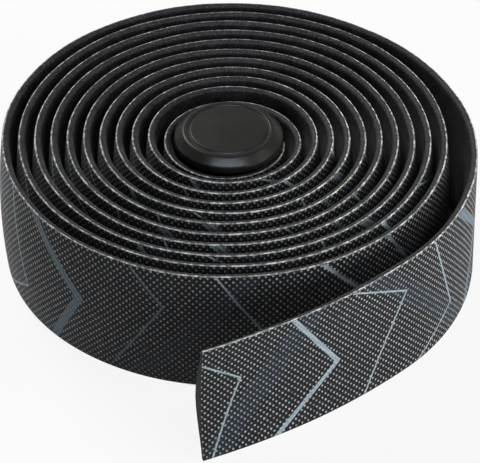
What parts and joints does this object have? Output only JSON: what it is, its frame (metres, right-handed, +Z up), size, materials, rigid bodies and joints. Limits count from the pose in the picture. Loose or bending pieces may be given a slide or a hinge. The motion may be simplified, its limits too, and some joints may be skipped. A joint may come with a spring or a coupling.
{
  "type": "handlebar tape roll",
  "caption": "Roll of cushioned handlebar tape standing on edge, wound in a loose spiral with its free end swung out, and a push-in bar end plug set in its core.",
  "frame": {"origin": "under the middle of the whole object's box, on the surface that the roll stands on", "axes": "+Z up along the roll's upright axis; the tape is wound clockwise seen from above; the free end swings out towards -Y, and its tip points to -X"},
  "size_m": [0.1034, 0.1226, 0.0319],
  "materials": {
    "foam_tape": "embossed foam, matt, with pale blue-grey printed lines",
    "plug_plastic": "fine-grained matt moulding"
  },
  "bodies": {
    "root": {"tape": "foam_tape", "end_plug": "plug_plastic"}
  },
  "joints": []
}
